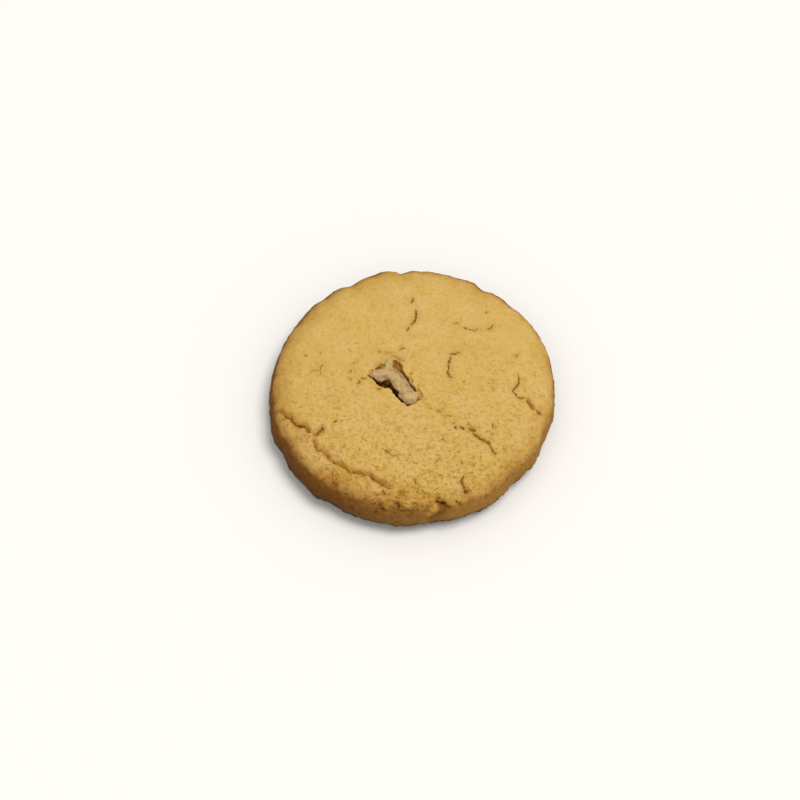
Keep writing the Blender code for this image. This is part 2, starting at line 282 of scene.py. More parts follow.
crackSet = {
    "step": 0.12,
    "tip": 0.35,
    "taper": 5.0,
    "wander": 0.24,
    "wanderSize": 1.6,
    "jitter": 0.22,
    "jitterSize": 0.45,
    "wanderApart": 7.3,
    "fray": 1.1,  # how much the width changes along a crack
    "fraySize": 0.6,
    # size, strength and least width of the places where a crack nearly closes
    "pause": (1.3, 0.9, 0.45),
    "lanes": (0.0, 2.0, 4.0, 6.0),  # these keep a crack's four noises apart
    "dip": 0.30,  # the crust sinks a little on both sides of an open crack
    "dipWidth": 1.3,
    "routes": [
        (0.19, 0.56, [(-2.3, 22.6), (-2.5, 21.4), (-2.7, 20.5)]),
        (0.23, 0.68, [(-1.5, 19.9), (-1.3, 17.8), (-1.2, 16.6), (-1.7, 15.5), (-2.5, 14.3), (-3.1, 12.9)]),
        (0.18, 0.50, [(9.8, 15.7), (11.7, 15.4), (12.8, 15.0), (13.5, 16.0)]),
        (0.18, 0.50, [(15.3, 15.9), (16.2, 16.3), (17.0, 17.5)]),
        (0.22, 0.62, [(9.9, 8.8), (8.7, 8.3), (7.7, 8.1), (7.6, 6.9), (7.4, 5.5), (7.6, 4.1), (7.3, 2.9),
                     (8.4, 2.3)]),
        (0.19, 0.56, [(23.4, 4.7), (23.8, 2.5), (22.7, 0.5), (22.6, 0.1), (23.9, -1.3), (26.1, -1.3)]),
        (0.40, 0.62, [(26.0, -1.2), (27.2, -2.9), (28.7, -3.8), (29.8, -4.4)]),
        (0.34, 0.40, [(6.0, -7.2), (6.7, -7.6)]),
        (0.32, 0.60, [(7.7, -7.9), (9.1, -8.1)]),
        (0.34, 0.75, [(10.3, -10.8)]),
        (0.32, 0.60, [(11.3, -10.5), (12.3, -11.1)]),
        (0.34, 0.60, [(13.0, -10.3), (13.8, -11.0), (15.0, -11.1)]),
        (0.36, 0.66, [(14.3, -11.8), (15.7, -12.7), (16.6, -13.3), (18.0, -13.6), (18.3, -14.5)]),
        (0.21, 0.62, [(18.2, -14.3), (18.8, -15.2), (19.8, -16.4)]),
        (0.18, 0.43, [(18.6, -8.6), (18.7, -9.9)]),
        (0.23, 0.62, [(13.1, -22.5), (12.9, -23.7), (13.4, -24.9), (13.9, -26.1)]),
        (0.18, 0.43, [(-15.9, -24.7), (-15.9, -26.9)]),
        (0.40, 0.90, [(7.6, -28.8), (8.9, -29.2), (9.8, -29.5), (10.9, -29.5)]),
        (0.62, 1.80, [(9.0, -29.1), (9.6, -29.5), (10.0, -29.9)]),
        (0.45, 0.70, [(9.9, -29.8), (9.3, -30.3, 6.5), (8.2, -31.1, 5.2), (6.6, -32.0, 5.0)]),
        (0.30, 0.55, [(-3.5, -31.5, 7.9), (-4.7, -32.0, 7.1), (-5.8, -32.3, 6.3)]),
        (0.30, 0.55, [(-5.0, -30.6), (-6.4, -31.0)]),
    ],
    # cracks where the crust on the inner side has sunk against the rim
    "steps": [
        (0.24, 0.60, [(-30.8, -10.3), (-29.4, -10.8), (-28.4, -11.8), (-26.7, -12.6), (-26.2, -13.4),
                     (-24.9, -14.4), (-23.4, -14.2), (-22.8, -15.3), (-21.4, -16.5)]),
        (0.24, 0.60, [(-21.4, -16.5), (-20.3, -15.8), (-19.3, -14.7)]),
        (0.18, 0.35, [(-21.3, -17.2), (-20.7, -18.5), (-20.3, -19.7), (-19.0, -20.2), (-18.6, -20.6),
                     (-17.5, -21.6), (-16.8, -22.5), (-15.5, -23.2), (-13.7, -23.5), (-12.3, -24.7)]),
        (0.24, 0.55, [(-12.3, -24.7), (-10.5, -25.0), (-8.8, -25.0), (-7.6, -25.1), (-6.5, -26.0),
                     (-5.1, -26.5), (-3.8, -27.4), (-2.6, -28.0)]),
    ],
    "stepFall": 0.6,
    "stepWidth": 1.6,
    "stepSoft": (-0.2, 0.4),  # where the fall begins and is full, inwards of the crack
    # hairlines, little holes and soft dents, tinted with the cracks' browner crumb and painted shade; a
    # route of one point is a hole
    "hairlines": [
        (0.26, 0.60, [(-16.9, -12.8), (-16.4, -12.4)]),
        (0.30, 0.70, [(-19.7, -15.1), (-19.2, -14.5)]),
        (0.32, 0.80, [(-25.0, -14.3), (-23.9, -14.4)]),
        (0.20, 0.45, [(-20.4, -19.6), (-18.9, -20.4)]),
        (0.22, 0.50, [(-17.4, -21.1), (-17.3, -22.0)]),
        (0.20, 0.45, [(-16.2, -22.7), (-14.8, -23.3)]),
        (0.26, 0.55, [(-13.2, -23.6), (-12.2, -24.7)]),
        (0.18, 0.30, [(-14.3, -18.8), (-13.8, -18.5)]),
        (0.24, 0.38, [(14.9, 20.6), (15.7, 21.2)]),
        (0.20, 0.32, [(7.7, 16.3), (8.7, 16.8)]),
        (0.20, 0.32, [(10.5, 11.8), (11.0, 10.7)]),
        (0.28, 0.34, [(11.3, 1.1)]),
        (0.22, 0.42, [(23.1, 10.3), (22.9, 9.3)]),
        (0.22, 0.40, [(6.7, -6.9), (7.6, -5.8)]),
        (0.26, 0.38, [(9.8, -9.9)]),
        (0.26, 0.45, [(7.5, 3.1), (7.7, 2.2), (8.4, 1.8)]),
        (0.30, 0.42, [(18.6, -11.6)]),
        (0.22, 0.42, [(12.2, -19.2), (12.7, -20.2)]),
        (0.20, 0.36, [(7.2, -19.0), (6.6, -20.3)]),
        (0.24, 0.55, [(2.6, -24.8), (2.6, -25.7)]),
        (0.21, 0.25, [(2.6, -26.9)]),
        (0.60, 0.75, [(14.0, -26.0)]),
        (0.22, 0.32, [(0.9, -16.9)]),
        (0.22, 0.32, [(14.8, -17.8)]),
        (0.18, 0.26, [(22.0, -10.4), (23.0, -11.6)]),
        (0.18, 0.26, [(21.2, -14.2), (22.2, -15.2)]),
        (0.18, 0.26, [(7.6, -14.3), (8.8, -15.0)]),
        (0.19, 0.40, [(-7.0, -24.5), (-7.3, -25.3)]),
        (0.19, 0.40, [(-4.6, -25.4), (-5.4, -26.4)]),
        (0.19, 0.40, [(-3.0, -26.7), (-2.6, -27.8)]),
        (0.15, 0.25, [(6.0, -22.4), (7.4, -23.1), (8.8, -23.5)]),
        (0.15, 0.25, [(13.4, -19.6), (14.3, -19.8), (15.2, -19.7)]),
        (0.35, 0.35, [(5.8, -28.5)]),
        (0.20, 0.40, [(7.5, -28.4), (8.5, -28.0)]),
        (0.40, 0.45, [(12.0, -28.2), (13.2, -28.6)]),
        (0.80, 0.38, [(-0.7, -28.6), (0.2, -28.2)]),
        (0.26, 0.50, [(-0.7, -30.4), (-0.4, -31.5), (0.1, -31.8), (2.2, -31.5)]),
        (0.14, 0.25, [(-23.3, -16.7), (-21.8, -16.7)]),
        (0.22, 0.38, [(-5.3, -18.1), (-4.5, -18.7), (-3.0, -19.7), (-1.8, -19.4), (-0.6, -19.2)]),
        (0.19, 0.25, [(-14.1, -18.4)]),
        (0.19, 0.25, [(-10.5, -19.0)]),
        (0.22, 0.31, [(-4.2, -28.5)]),
        (0.17, 0.35, [(-2.9, 8.5), (-3.6, 8.0), (-4.2, 7.5)]),
        (0.26, 0.40, [(-8.7, 6.7)]),
        (0.24, 0.42, [(-13.7, 3.4), (-14.3, 3.0)]),
        (0.26, 0.50, [(-14.5, 1.0), (-14.6, 0.1)]),
        (0.26, 0.50, [(-14.4, -1.4)]),
        (0.34, 0.38, [(-25.4, 3.8)]),
        (0.24, 0.30, [(-22.0, 4.8)]),
        (0.20, 0.28, [(-24.1, -0.4), (-23.3, 0.2), (-21.6, 0.4)]),
        (0.20, 0.28, [(-21.1, 2.2), (-21.6, 1.1), (-21.3, -1.3)]),
        (0.24, 0.50, [(-12.1, -0.7), (-11.1, -1.0)]),
        (0.90, 0.20, [(-7.0, 6.2), (-5.2, 6.6)]),
        (0.60, 0.16, [(-10.6, -1.0), (-9.2, -1.9), (-8.2, -3.0)]),
        (0.24, 0.50, [(-12.2, -1.6), (-12.8, -2.4)]),
        (0.24, 0.42, [(-8.1, -3.3), (-7.4, -3.2)]),
        (0.20, 0.30, [(2.3, -4.9), (3.3, -4.4)]),
        (0.22, 0.35, [(4.5, -6.8)]),
        (0.21, 0.31, [(8.2, -27.5)]),
        (0.55, 0.26, [(-4.8, 6.4), (-4.1, 5.9), (-3.0, 4.6)]),
        (0.45, 0.24, [(-9.5, 2.9), (-8.8, 3.6), (-8.2, 3.9)]),
        (1.10, 0.18, [(-17.4, -18.5), (-16.3, -19.4)]),
        (1.10, 0.24, [(-13.4, -29.1), (-11.9, -29.3), (-10.6, -29.5)]),
        (1.00, 0.17, [(10.2, -27.2), (11.8, -26.7)]),
    ],
}


def makeCrackBeads(s):
    # beads strung closely along every crack: place, half-width, depth and the inner side's fall
    beads = []
    sizes = (s["wanderSize"], s["jitterSize"], s["fraySize"], s["pause"][0])
    for number, (halfWidth, depth, route) in enumerate(s["routes"] + s["steps"] + s["hairlines"]):
        fall = s["stepFall"] if (halfWidth, depth, route) in s["steps"] else 0.0
        corners = [onCrust(point) for point in route]
        if len(corners) == 1:
            beads.append((corners[0], halfWidth, depth, 0.0))
        length = sum((b - a).length for a, b in zip(corners, corners[1:]))
        row = s["wanderApart"] * number
        gone = 0.0
        for a, b in zip(corners, corners[1:]):
            run = (b - a).length
            steps = max(1, round(run / s["step"]))
            sideways = Vector((a.y - b.y, b.x - a.x, 0.0)).normalized()
            for step in range(steps):
                along = gone + run * step / steps
                taper = min(1.0, s["tip"] + s["taper"] * min(along, length - along) / length)
                wander, jitter, fray, pause = (noise.noise(Vector((along / size, row, lane)))
                                               for size, lane in zip(sizes, s["lanes"]))
                jog = wander * s["wander"] + jitter * s["jitter"]
                fray = 1 + s["fray"] * fray
                pause = max(s["pause"][2], 1 + s["pause"][1] * min(0.0, pause))
                place = a.lerp(b, step / steps) + sideways * jog
                beads.append((place, halfWidth * taper * fray * pause, depth * taper * pause,
                              fall * taper))
            gone += run
    tree = KDTree(len(beads))
    for index, bead in enumerate(beads):
        tree.insert(bead[0], index)
    tree.balance()
    return tree, beads


crackTree, crackBeads = makeCrackBeads(crackSet)
widestCrack = max(bead[1] for bead in crackBeads)


def crackRelief(place):
    # how deep a crack cuts in here, and how much the crust sinks beside it
    deepest = 0.0
    dip = 0.0
    s = crackSet
    for bead, index, distance in crackTree.find_range(place, widestCrack + s["stepWidth"]):
        _, halfWidth, depth, fall = crackBeads[index]
        if distance < halfWidth:
            deepest = max(deepest, depth * (1.0 - (distance / halfWidth) ** 2))
        dip = max(dip, s["dip"] * depth * smoothStep(halfWidth + s["dipWidth"], 0.0, distance))
        if fall:
            inwards = smoothStep(*s["stepSoft"], bead.xy.length - place.xy.length)
            dip = max(dip, fall * inwards * smoothStep(s["stepWidth"], 0.0, distance))
    return deepest, dip


# the walnut's bed in the dough

bedSet = {
    "brownAt": 0.9,  # a drop this deep is fully brown
    "overlap": 0.15,  # dough has baked on to the kernel this far up
    "under": 0.6,  # where the kernel shows, the dough lies this far beneath its top
    "soft": 0.22,  # how gradually an edge rolls over
    "middle": (-4.3, -0.3),
    "reach": 8.5,
    "underShoulder": 1.0,  # the bed's zone goes this far under the shoulder's height
    "fray": (0.7, 0.22),  # size and strength of the crumbs along the edges
    "crumbs": (0.65, 0.7),  # size and strength of the crumbs left in the hollows
    "crumbShift": (0.0, 0.0, 5.0),
    "step": 0.15,
    "wallFrom": 0.1,  # what drops less than this share of brownAt isn't wall
    "wallJitter": 0.2,
    "wallSize": 0.7,
    "wallSeed": 1,  # without one, each run would crumble the walls in its own way
    "longEdge": 0.35,
    # hollows where the dough has drawn back: depth, then (x, y, half-width) along each
    "hollows": [
        (2.9, [(-9.2, -0.4, 0.30), (-8.4, -0.9, 0.55), (-7.5, -1.4, 0.90), (-6.6, -1.6, 1.05),
               (-5.9, -1.6, 1.00), (-5.2, -1.9, 0.65), (-4.6, -2.6, 0.50), (-3.9, -3.5, 0.60),
               (-3.4, -4.2, 0.50)]),
        (2.2, [(-3.5, -4.4, 0.42), (-2.7, -5.1, 0.36), (-1.7, -5.8, 0.36), (-0.8, -6.4, 0.30)]),
        (1.2, [(-0.8, -6.4, 0.30), (-0.2, -6.0, 0.32), (0.4, -5.6, 0.28)]),
        (0.35, [(-5.6, 5.8, 0.25), (-4.8, 5.7, 0.40), (-4.3, 5.0, 0.55)]),
        (1.2, [(-4.7, 4.3, 0.60), (-4.2, 3.4, 1.00), (-3.8, 2.5, 0.90), (-3.4, 1.7, 0.60)]),
        (1.5, [(-3.3, 1.7, 0.45), (-2.7, 1.1, 0.36), (-1.9, 0.2, 0.42), (-1.4, -0.5, 0.36)]),
        (1.4, [(-1.4, -0.6, 0.30), (-0.8, -1.5, 0.38), (-0.2, -2.2, 0.42), (0.4, -2.9, 0.36)]),
        (0.5, [(-1.0, 0.3, 0.25), (-0.6, -0.1, 0.35), (-0.5, -0.7, 0.25)]),
        (0.5, [(-1.1, 1.4, 0.20), (-0.8, 1.7, 0.22)]),
        (0.5, [(1.1, -2.4, 0.30), (1.5, -3.1, 0.45), (1.9, -3.8, 0.50), (1.3, -4.6, 0.42)]),
        (0.9, [(1.2, -4.6, 0.36), (0.8, -5.2, 0.40)]),
        (1.1, [(-8.5, 2.2, 0.45), (-8.0, 2.6, 0.55)]),
        (0.6, [(-7.8, 3.0, 0.50), (-7.4, 3.1, 0.50)]),
        (0.4, [(-9.0, 1.5, 0.20), (-10.2, 1.3, 0.35)]),
        (0.8, [(-10.5, 0.2, 0.22), (-9.9, -0.3, 0.26)]),
    ],
}

kernelSet = {
    # the broken pieces it is grown from: (x, y, half-width, its top's height over the crust)
    "limbs": [
        [(-6.0, 1.7, 1.35, 0.40), (-4.8, 0.5, 1.55, 0.50), (-4.0, -0.4, 1.60, 0.55),
         (-3.1, -1.6, 1.80, 0.50), (-2.1, -2.9, 1.50, 0.45), (-1.2, -3.8, 1.60, 0.40),
         (-0.3, -4.7, 1.45, 0.30), (0.1, -5.3, 1.05, 0.15)],
        [(-2.5, -4.1, 0.90, 0.20), (-1.6, -5.0, 0.95, 0.15), (-0.8, -5.6, 0.80, 0.10)],
        [(-3.2, 0.2, 0.95, 0.25), (-2.2, -0.7, 0.90, 0.25), (-1.6, -1.6, 0.75, 0.20)],
        [(-6.0, 1.1, 1.40, 0.45), (-7.5, 0.3, 1.70, 0.30), (-8.7, 0.5, 1.15, 0.20),
         (-9.7, 0.4, 0.75, 0.05)],
        [(-6.1, 1.7, 1.30, 0.40), (-6.1, 3.2, 1.10, 0.25), (-6.2, 4.0, 0.95, 0.05),
         (-6.2, 4.5, 0.70, -0.15)],
    ],
    "step": 0.4,
    "depth": 3.4,
    "depthInRadii": 2.2,
    "footShare": 0.6,
    "voxel": 0.14,
    "swell": (1.7, 0.22),
    "sides": 32,
    "fold": (1.3, 0.15),  # the kernel's shallow folds, stretched along its body
    "foldShift": (3.0, 1.0, 0.0),
    "foldSharp": 4.0,
    "foldBase": 0.5,
    "blending": 6,  # smoothing passes that round its edges
    # the lines along which its pale crest runs
    "crest": [[(-8.9, 0.6), (-7.8, 0.7), (-6.4, 0.9), (-5.2, 0.5), (-4.2, -0.2), (-3.4, -1.2),
               (-2.8, -2.3), (-2.0, -3.4), (-1.0, -4.5), (0.0, -4.5), (0.7, -4.0)],
              [(-6.2, 5.4), (-6.2, 3.3), (-6.0, 1.7)]],
    "crestWidth": (0.3, 1.15),
    "crestRise": 0.2,
    "crestBase": 0.6,  # the crest stands up by this share of the rise, the flanks sink by the rest
    "skinShadeDepth": (0.3, 1.2),  # below the crust's height the kernel darkens: brown skin left down its flanks and painted shade in the bed, full this far down
    "foldTurn": -53.0,  # degrees from +X to the body's length
    "foldStretch": 0.35,
    "grain": (0.5, 0.06),
}


def strung(routes, step):
    # spots strung along routes, each one (x, y, half-width, height or depth)
    spots = []
    for route in routes:
        for a, b in zip(route, route[1:]):
            steps = max(1, round(math.dist(a[:2], b[:2]) / step))
            spots += [tuple(p + (q - p) * i / steps for p, q in zip(a, b)) for i in range(steps + 1)]
    return spots


bedRoutes = [[(*point, depth) for point in route] for depth, route in bedSet["hollows"]]
bedSpots = strung(bedRoutes, bedSet["step"])
kernelSpots = strung(kernelSet["limbs"], kernelSet["step"])


def inBedZone(place):
    x, y = bedSet["middle"]
    onTop = place.z > biscuitSet["shoulderHeight"] - bedSet["underShoulder"]
    return onTop and math.hypot(place.x - x, place.y - y) < bedSet["reach"]


def bedDrop(place):
    # how far the top drops here in the hollows, with a crumbly edge
    s = bedSet
    if not inBedZone(place):
        return 0.0
    ragged = s["fray"][1] * noise.noise(place / s["fray"][0])
    crumbs = 1 + s["crumbs"][1] * noise.noise(place / s["crumbs"][0] + Vector(s["crumbShift"]))
    deepest = 0.0
    for x, y, radius, depth in bedSpots:
        away = math.hypot(place.x - x, place.y - y) + ragged
        if away < radius + s["soft"]:
            edge = smoothStep(radius + s["soft"], radius - s["soft"], away)
            deepest = max(deepest, depth * crumbs * edge)
    return deepest


def kernelDrop(place, kernelTree):
    # how far dough at this place must drop to lie beneath the kernel where the kernel shows
    if not inBedZone(place):
        return 0.0
    hit = kernelTree.ray_cast(Vector((place.x, place.y, 2 * place.z)), Vector((0, 0, -1)))[0]
    if hit is None or hit.z < place.z - bedSet["overlap"]:
        return 0.0
    return max(0.0, place.z - hit.z + bedSet["under"])


def nearBed(place, reach):
    return inBedZone(place) and any(math.hypot(place.x - x, place.y - y) < radius + reach
                                    for x, y, radius, _ in bedSpots + kernelSpots)


def crumbliness(place):
    zone = biscuitSet["crumbly"]
    away = math.hypot((place.x - zone["middle"][0]) / zone["reach"][0],
                      (place.y - zone["middle"][1]) / zone["reach"][1])
    return smoothStep(*zone["fade"], away)


def proudCrumb(place):
    core = biscuitSet["proudCore"]
    return max(smoothStep(radius, core * radius, (place - Vector(middle)).length)
               for middle, radius in biscuitSet["proudCrumbs"])


def roughness(place):
    s = biscuitSet
    way = (place.x * s["roughWay"][0] + place.y * s["roughWay"][1]) / s["radius"]
    least = s["roughLeast"]
    return least + (1 - least) * smoothStep(s["roughSpan"][0], s["roughSpan"][1], way)


def crumbRelief(place):
    s = biscuitSet
    rough = roughness(place)
    crumbs = noise.fractal(place / s["crumb"][0], *s["crumbFractal"]) * s["crumb"][1]
    out = crumbs * (s["crumbLeast"] + rough)
    size, least, depth = s["pore"]
    out -= max(0.0, noise.noise(place / size + Vector(s["poreShift"])) - least) * depth * rough
    zone = s["crumbly"]
    return out + noise.noise(place / zone["size"]) * zone["height"] * crumbliness(place)


def makeBiscuit(kernelTree):
    s = biscuitSet
    bm = bmesh.new()
    bmesh.ops.create_icosphere(bm, subdivisions=s["level"], radius=1.0)
    for reach in s["fineReach"]:
        edges = []
        for edge in bm.edges:
            place = onBiscuit((edge.verts[0].co + edge.verts[1].co).normalized())
            if crackTree.find(place)[2] < reach or nearBed(place, reach):
                edges.append(edge)
        bmesh.ops.subdivide_edges(bm, edges=edges, cuts=1, use_grid_fill=True)
        bmesh.ops.triangulate(bm, faces=[f for f in bm.faces if len(f.verts) > 3])
        for vert in bm.verts:
            vert.co.normalize()
    for vert in bm.verts:
        vert.co = onBiscuit(vert.co)

    # the flat underside
    geometry = bm.verts[:] + bm.edges[:] + bm.faces[:]
    bmesh.ops.bisect_plane(bm, geom=geometry, dist=s["undersideSnap"], plane_co=(0, 0, 0),
                           plane_no=(0, 0, -1), use_snap_center=True, clear_outer=True)
    bmesh.ops.contextual_create(bm, geom=[e for e in bm.edges if e.is_boundary])
    print("biscuit: smooth form,", len(bm.faces), "faces")

    # swells, lumps, crumbs and cracks along the surface's own normals, then the bed
    bm.normal_update()
    layers = {name: bm.verts.layers.float.new(name)
              for name in ("fissure", "bed", "rough", "dipShade", "proud")}
    moves = []
    for vert in bm.verts:
        place = vert.co.copy()
        fade = min(1.0, max(0.0, place.z / s["heelFade"]))
        deep, dip = crackRelief(place)
        drop = bedDrop(place)
        proud = proudCrumb(place)
        outward = unevenness(place) + crumbRelief(place) + s["proudRise"] * proud - deep - dip
        place += vert.normal * (outward * fade)
        place.z -= max(drop, kernelDrop(place, kernelTree))
        moves.append(place)
        vert[layers["fissure"]] = min(1.0, deep)
        vert[layers["bed"]] = drop / bedSet["brownAt"]
        vert[layers["proud"]] = proud
        crumbs = s["crumbly"]["rough"] * crumbliness(vert.co)
        upwards = smoothStep(*s["wallSpan"], vert.co.z)
        share = s["wallRough"] + (1 - s["wallRough"]) * upwards
        vert[layers["rough"]] = (roughness(vert.co) + crumbs) * share
        # how far the crust sinks beside a crack, the mask of painted shade on that slope
        vert[layers["dipShade"]] = min(1.0, dip / crackSet["stepFall"]) * fade
    for vert, place in zip(bm.verts, moves):
        vert.co = place
    print("biscuit: relief")

    # the bed's stretched walls get more faces, and crumble a little
    bed = layers["bed"]
    long = [e for e in bm.edges if e.calc_length() > bedSet["longEdge"] and
            max(v[bed] for v in e.verts) > bedSet["wallFrom"]]
    bmesh.ops.subdivide_edges(bm, edges=long, cuts=2)
    bmesh.ops.triangulate(bm, faces=[f for f in bm.faces if len(f.verts) > 3])
    noise.seed_set(bedSet["wallSeed"])
    for vert in bm.verts:
        if vert[bed] > bedSet["wallFrom"]:
            jitter = bedSet["wallJitter"] * min(1.0, vert[bed])
            vert.co += noise.noise_vector(vert.co / bedSet["wallSize"]) * jitter
    print("biscuit: bed,", len(bm.faces), "faces")
    return finishPiece("cookie_crust", bm, crustMaterial())


crustSet = {
    # colour up the side, by height in mm: heel, wall, shoulder, edge of the top, top
    "byHeight": [(3.0, "#5A370F"), (5.0, "#6C430F"), (7.0, "#7A490D"), (7.6, "#A5722A"), (8.3, "#BE8E3A"),
                 (9.2, "#CBA04C"), (10.3, "#D9B463")],
    # painted light on the right front of the side wall
    "litWall": {"colour": "#AC8038", "way": (0.77, -0.64), "span": (0.2, 1.0), "strength": 0.75},
    # how far the browning shifts, in mm, towards a side; span in shares of the radius. Partly real
    # browning, partly painted light and shade: browner at the front left and far side, away from the light,
    # paler at the lit right
    "sideShadeShifts": [
        {"way": (-0.42, -0.91), "span": (0.5, 0.97), "shift": (0.15, -0.9)},
        {"way": (0.995, 0.1), "span": (0.78, 0.95), "shift": (0.0, 0.8)},
        {"way": (-0.3, 0.954), "span": (0.5, 0.95), "shift": (0.0, -0.55)},
    ],
    # proud crumbs turn paler, partly less baked and partly painted light
    "proudPaleLight": 1.4,
    "footScorchShade": {"colour": "#4A331D", "span": (4.8, 2.2)},  # the foot, browned next to the hot tray, with painted contact shade along the heel
    "topHeight": 11.6,
    "topSpan": (6.5, 9.0),  # heights between which wall turns to top
    "raggedness": (3.0, 0.9),  # size and height of the browning's uneven edge
    # sizes in mm; span, level and soft are noise levels
    "pale": {"colour": "#DFBB76", "size": 6.5, "span": (0.38, 0.68), "strength": 0.7},
    "yellow": {"colour": "#D2AF55", "size": 3.8, "span": (0.48, 0.68), "strength": 0.5},
    "grain": {"tint": "#DDD0AC", "size": 0.8, "span": (0.52, 0.32), "strength": 0.9},
    "pit": {"tint": "#B9A878", "size": 0.85, "level": 0.325, "soft": 0.08, "strength": 0.8},
    "dash": {"tint": "#D3C6A0", "size": 0.72, "stretch": 0.5, "level": 0.41, "soft": 0.16, "strength": 0.8},
    "hairline": {"tint": "#C0AE80", "size": 2.2, "width": 0.14, "warp": 1.8, "warpSize": 1.1,
                 "patch": 1.9, "patchSpan": (0.56, 0.64), "strength": 0.75},
    "dipShade": "#D9BC86",  # painted shade on the crust's inner slope where it sinks beside a crack
    "fissure": {"colour": "#A06E28", "span": (0.05, 0.6), "strength": 0.9},  # the cracks' browner crumb with painted shade, darker the deeper; span in mm deep
    "bed": "#B07A30",
    "deepBedShade": {"colour": "#84481C", "span": (1.5, 3.0)},  # deeper brown and painted shade low in the hollows; span in mm down from the top
    "grainRelief": 0.38,
    "pitRelief": 0.11,
    "roughness": 0.85,
    "gloss": 0.22,
}


